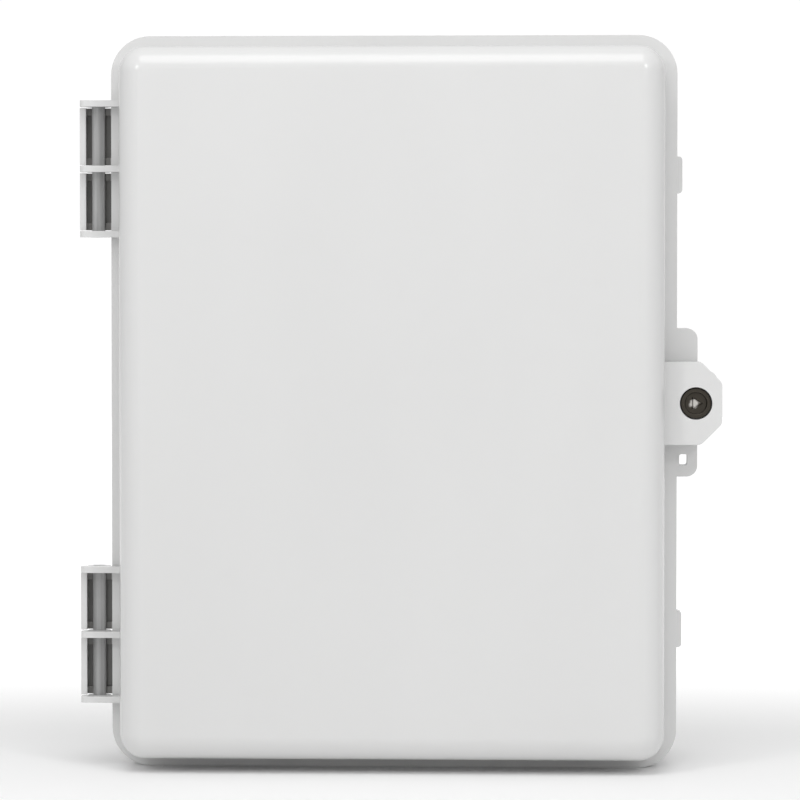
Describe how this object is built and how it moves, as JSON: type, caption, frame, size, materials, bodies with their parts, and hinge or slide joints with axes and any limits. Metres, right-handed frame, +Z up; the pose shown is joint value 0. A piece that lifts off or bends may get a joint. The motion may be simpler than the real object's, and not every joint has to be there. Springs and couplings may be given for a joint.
{
  "type": "fiber termination box",
  "caption": "Wall box for fibre splices and adapters: deep base with sealed rim, side-hinged cover with a captive lock screw, and a swing-out splice panel.",
  "frame": {"origin": "middle of the box's footprint at floor level: the bounding box's bottom centre", "axes": "+Z up along the box's height, +Y towards the wall behind it, the cover faces -Y, the hinges are at -X and the lock at +X"},
  "size_m": [0.2626, 0.095, 0.3],
  "materials": {
    "shell_plastic": "moulded ABS, light grey, satin gloss",
    "hinge_pin_plastic": "moulded rod, mid grey",
    "seal_rubber": "black EPDM rubber",
    "insert_brass": "turned brass",
    "lock_metal": "blackened zinc with a worn bright drive post",
    "pin_steel": "bright steel",
    "screw_steel": "zinc plated steel",
    "clamp_steel": "zinc plated steel",
    "inner_plastic": "moulded ABS, off-white, matt",
    "tray_plastic": "moulded ABS, charcoal",
    "comb_rubber": "soft grey rubber",
    "clear_lid": "clear polycarbonate",
    "splitter_steel": "brushed stainless tube",
    "adapter_plastic": "moulded green plastic",
    "cap_plastic": "translucent white plastic"
  },
  "bodies": {
    "base": {"base_shell": "shell_plastic", "cable_tie_bar": "inner_plastic", "clamp_screws": "screw_steel", "cover_gasket": "seal_rubber", "drop_port_plugs": "seal_rubber", "feeder_grommet_left": "seal_rubber", "feeder_grommet_right": "seal_rubber", "fibre_hooks": "inner_plastic", "lock_insert": "insert_brass", "panel_bracket_lower": "inner_plastic", "panel_bracket_upper": "inner_plastic", "panel_catch": "inner_plastic", "strength_clamp_left": "clamp_steel", "strength_clamp_right": "clamp_steel", "wall_screws": "screw_steel"},
    "cover": {"front_cover": "shell_plastic", "hinge_pin_lower": "hinge_pin_plastic", "hinge_pin_upper": "hinge_pin_plastic", "lock_seal_ring": "seal_rubber"},
    "lock_clip": {"lock_clip": "pin_steel"},
    "lock_screw": {"lock_screw": "lock_metal"},
    "panel": {"distribution_panel": "inner_plastic", "panel_pin_lower": "pin_steel", "panel_pin_upper": "pin_steel", "splice_tray": "tray_plastic", "splice_holder_comb": "comb_rubber", "splice_tray_lid": "clear_lid", "tray_screws": "screw_steel", "shelf_screws": "screw_steel", "splitter_module": "splitter_steel", "splitter_clips": "inner_plastic", "adapter_shelf": "inner_plastic", "adapter_1": "adapter_plastic", "adapter_2": "adapter_plastic", "adapter_3": "adapter_plastic", "adapter_4": "adapter_plastic", "adapter_5": "adapter_plastic", "adapter_6": "adapter_plastic", "adapter_7": "adapter_plastic", "adapter_8": "adapter_plastic", "dust_cap_1": "cap_plastic", "dust_cap_2": "cap_plastic", "dust_cap_3": "cap_plastic", "dust_cap_4": "cap_plastic", "dust_cap_5": "cap_plastic", "dust_cap_6": "cap_plastic", "dust_cap_7": "cap_plastic", "dust_cap_8": "cap_plastic"}
  },
  "joints": [
    {"name": "cover_hinge", "type": "hinge", "parent": "base", "child": "cover", "pos_m": [-0.12395, -0.0165, 0.15], "axis": [0, 0, -1], "range_deg": [0, 120]},
    {"name": "panel_hinge", "type": "hinge", "parent": "base", "child": "panel", "pos_m": [-0.10465, 0.0045, 0.15], "axis": [0, 0, -1], "range_deg": [0, 90]},
    {"name": "lock_screw_travel", "type": "slide", "parent": "cover", "child": "lock_clip", "axis": [0, -1, 0], "range_m": [0, 0.004]},
    {"name": "lock_screw_turn", "type": "hinge", "parent": "lock_clip", "child": "lock_screw", "pos_m": [0.12075, -0.0289, 0.15], "axis": [0, -1, 0], "range_deg": [0, 1440]}
  ],
  "couplings": [
    {"joint": "panel_hinge", "follows": "cover_hinge", "ratio": 0.75},
    {"joint": "lock_screw_turn", "follows": "lock_screw_travel", "rad_per_m": 6283.2}
  ]
}
